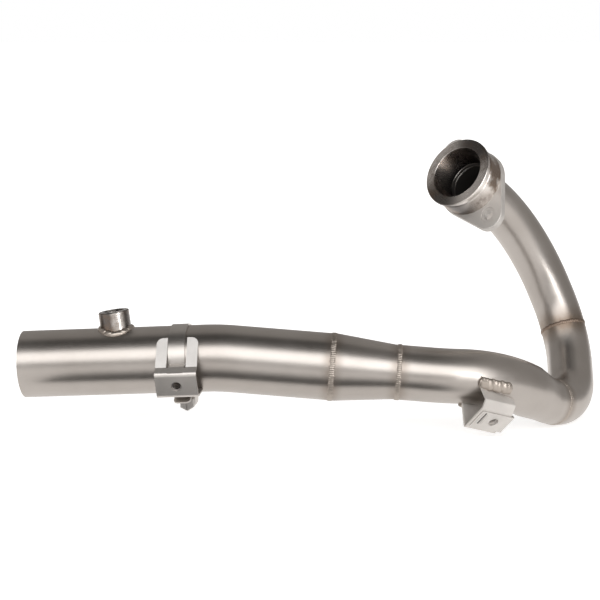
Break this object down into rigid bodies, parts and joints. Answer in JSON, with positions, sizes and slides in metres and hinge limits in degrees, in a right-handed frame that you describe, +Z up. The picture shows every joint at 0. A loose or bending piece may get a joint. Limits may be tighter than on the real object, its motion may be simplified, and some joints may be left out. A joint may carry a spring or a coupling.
{
  "type": "motorcycle exhaust header",
  "caption": "Single-cylinder exhaust header: bent tube that widens to its outlet, with a loose stud flange, sensor boss, worm clamp and shield brackets.",
  "frame": {"origin": "centre of the inlet collar's front face, where the gas enters", "axes": "+X towards the front wheel, the way the long outlet pipe points forward; +Y to the side away from the brackets; +Z up as fitted"},
  "size_m": [0.5273, 0.1998, 0.261],
  "materials": {
    "tube_metal": "satin brushed tube with a faint warm tint",
    "turned_metal": "fine turned",
    "flange_metal": "satin milled faces",
    "weld_metal": "rippled weld bead",
    "strap_metal": "smooth rolled band",
    "screw_metal": "satin",
    "sheet_metal": "satin folded sheet",
    "nut_metal": "dull plated"
  },
  "bodies": {
    "header": {"inlet_collar": "turned_metal", "collar_weld": "weld_metal", "head_pipe": "tube_metal", "elbow_weld": "weld_metal", "elbow_pipe": "tube_metal", "mid_weld": "weld_metal", "mid_pipe": "tube_metal", "cone_weld": "weld_metal", "reducer_cone": "tube_metal", "outlet_weld": "weld_metal", "outlet_pipe": "tube_metal", "sensor_bung": "turned_metal", "bung_weld": "weld_metal", "clamp_strap": "strap_metal", "clamp_housing": "strap_metal", "clamp_screw": "screw_metal", "clamp_bracket": "sheet_metal", "clamp_bracket_nut": "nut_metal", "shield_bracket": "sheet_metal", "shield_weld_front": "weld_metal", "shield_weld_rear": "weld_metal", "shield_clip_nut": "nut_metal"},
    "flange": {"head_flange": "flange_metal"}
  },
  "joints": [
    {"name": "flange_spin", "type": "hinge", "parent": "header", "child": "flange", "pos_m": [0, 0, 0], "axis": [0.5909, 0.6448, -0.4848], "continuous": true}
  ]
}
